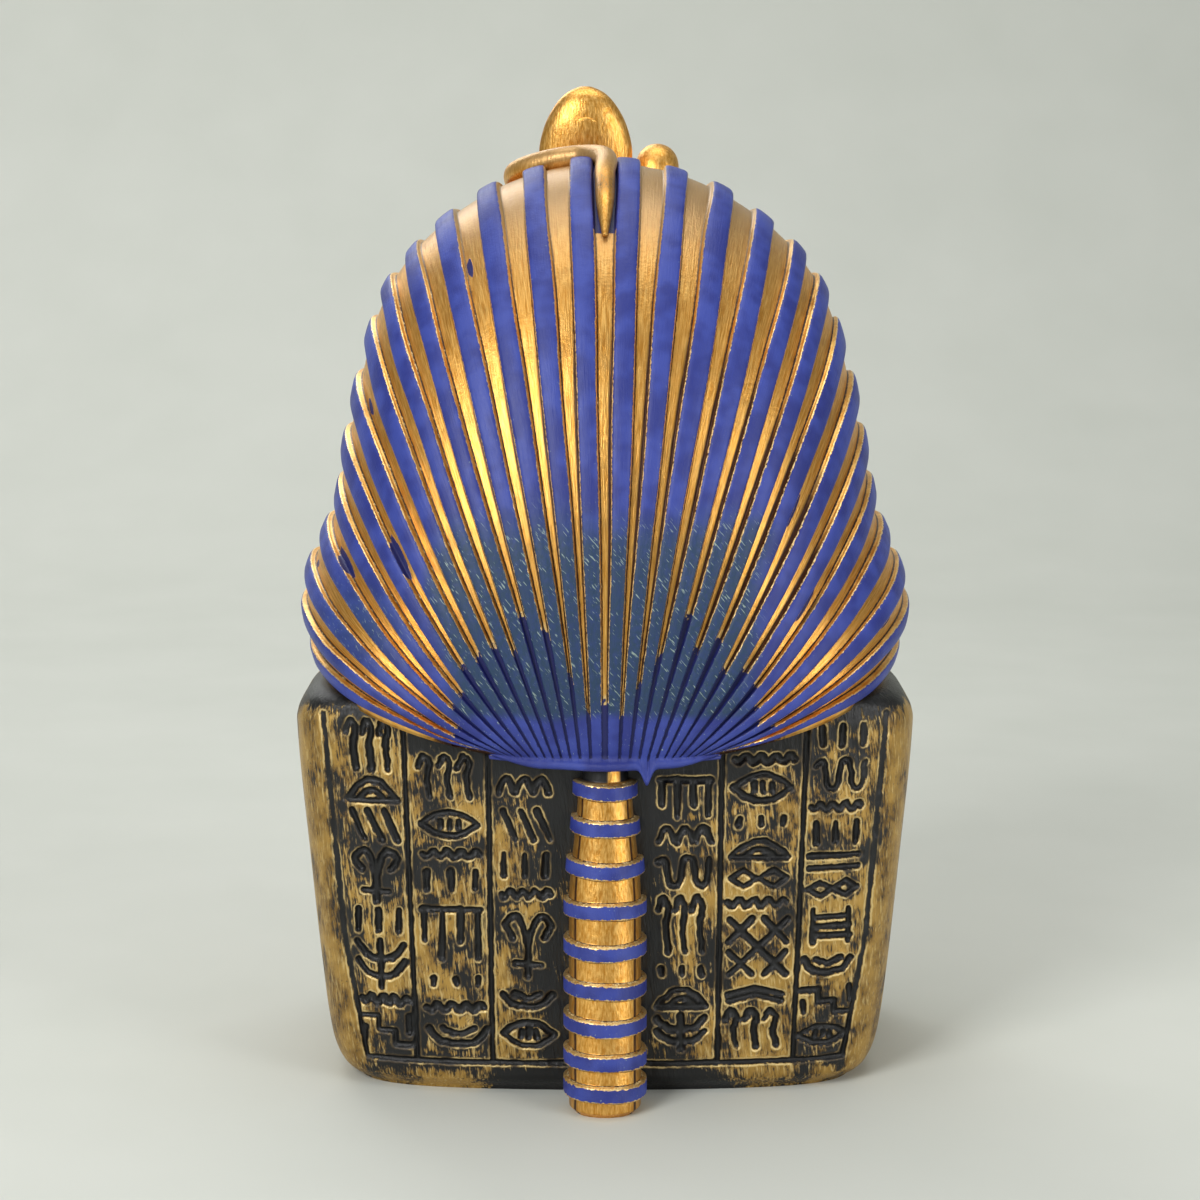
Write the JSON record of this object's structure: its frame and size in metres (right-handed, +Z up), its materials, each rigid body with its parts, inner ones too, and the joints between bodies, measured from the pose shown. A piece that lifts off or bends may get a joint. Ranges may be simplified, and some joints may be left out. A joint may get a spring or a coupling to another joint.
{
  "type": "pharaoh bust",
  "caption": "Cast souvenir bust of a pharaoh in a ribbed, striped headcloth, with a bound queue down the back and a carved back panel.",
  "frame": {"origin": "centre of the bounding box, on the surface the bust stands on", "axes": "+Z up, -Y the way the face looks, +X the figure's left"},
  "size_m": [0.16, 0.136, 0.2521],
  "materials": {
    "antique_gold": "metallic gold paint dry-brushed over black",
    "gold_paint": "satin metallic gold paint, darker in the recesses",
    "blue_paint": "matte ultramarine paint, rubbed and scratched near the nape"
  },
  "bodies": {
    "root": {"pharaoh_bust": "antique_gold"}
  },
  "joints": []
}
